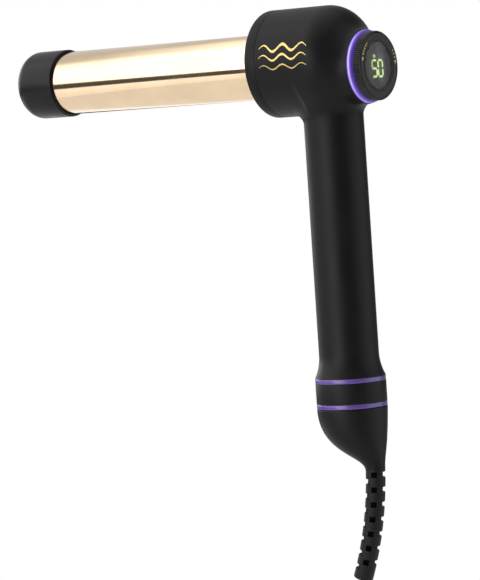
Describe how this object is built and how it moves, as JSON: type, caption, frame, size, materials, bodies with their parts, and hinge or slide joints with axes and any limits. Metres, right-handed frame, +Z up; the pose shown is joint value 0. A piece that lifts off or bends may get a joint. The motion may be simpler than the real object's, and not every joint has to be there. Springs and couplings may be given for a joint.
{
  "type": "curling iron",
  "caption": "Right-angle curling iron with a gold barrel and cool tip, a rear temperature dial around a display, and a swivelling cord boot with a strain relief.",
  "frame": {"origin": "on the handle's axis at the middle of the hand grip", "axes": "+Z up the handle, +X from the barrel towards the dial, Y across"},
  "size_m": [0.2181, 0.0526, 0.2805],
  "materials": {
    "soft_touch": "fine soft-touch black coating",
    "gold_ceramic": "polished gold-coloured barrel coating",
    "tip_plastic": "heat-resistant black plastic, satin",
    "purple_plastic": "satin purple accent",
    "light_guide": "translucent purple light guide",
    "dial_black": "moulded black plastic",
    "lens": "smoked clear window",
    "display": "dark display with green segments",
    "rubber": "flexible black rubber",
    "ceramic_white": "white ceramic",
    "aluminium": "machined aluminium",
    "steel": "plated steel",
    "brass": "bare brass",
    "ivory_nylon": "glass-filled nylon, natural",
    "mica": "mica board",
    "board": "green circuit board",
    "black_part": "black component body",
    "winding": "taped winding",
    "capacitor_blue": "blue sleeve",
    "wire_red": "red silicone insulation",
    "wire_blue": "blue insulation",
    "led_white": "clear white"
  },
  "bodies": {
    "housing": {"cool_tip": "tip_plastic", "tip_plug": "ceramic_white", "tip_screw": "steel", "barrel": "gold_ceramic", "heater_plate": "ceramic_white", "spreader_upper": "aluminium", "spreader_lower": "aluminium", "spreader_springs": "steel", "thermistor": "ceramic_white", "thermal_fuse": "steel", "sensor_lead": "wire_red", "barrel_holder": "ivory_nylon", "barrel_rivets": "steel", "heat_shield": "mica", "nose_ring": "soft_touch", "left_shell": "soft_touch", "right_shell": "soft_touch", "housing_screws": "steel", "light_ring": "light_guide", "led_board": "board", "indicator_leds": "led_white", "detent_spring": "brass", "encoder_sensor": "black_part", "dial_carrier": "dial_black", "dial_face": "dial_black", "display_lens": "lens", "display_module": "display", "display_ribbon": "mica", "control_board": "board", "controller_chip": "black_part", "power_board": "board", "terminal_block": "ivory_nylon", "triac": "black_part", "transformer": "winding", "capacitor": "capacitor_blue", "glass_fuse": "ceramic_white", "heater_leads": "wire_red", "supply_leads": "wire_blue", "accent_ring_upper": "purple_plastic", "handle_collar": "soft_touch", "accent_ring_lower": "purple_plastic", "brush_holder": "ivory_nylon", "contact_brushes": "brass"},
    "dial": {"dial_ring": "dial_black", "encoder_rotor": "ivory_nylon"},
    "swivel": {"contact_rings": "brass", "swivel_core": "dial_black", "swivel_retainer": "steel", "swivel_boot": "soft_touch", "strain_relief": "rubber"}
  },
  "joints": [
    {"name": "dial_turn", "type": "hinge", "parent": "housing", "child": "dial", "pos_m": [0.026, 0, 0.0814], "axis": [1, 0, 0], "continuous": true},
    {"name": "cord_swivel", "type": "hinge", "parent": "housing", "child": "swivel", "pos_m": [0, 0, -0.0827], "axis": [0, 0, 1], "continuous": true}
  ]
}
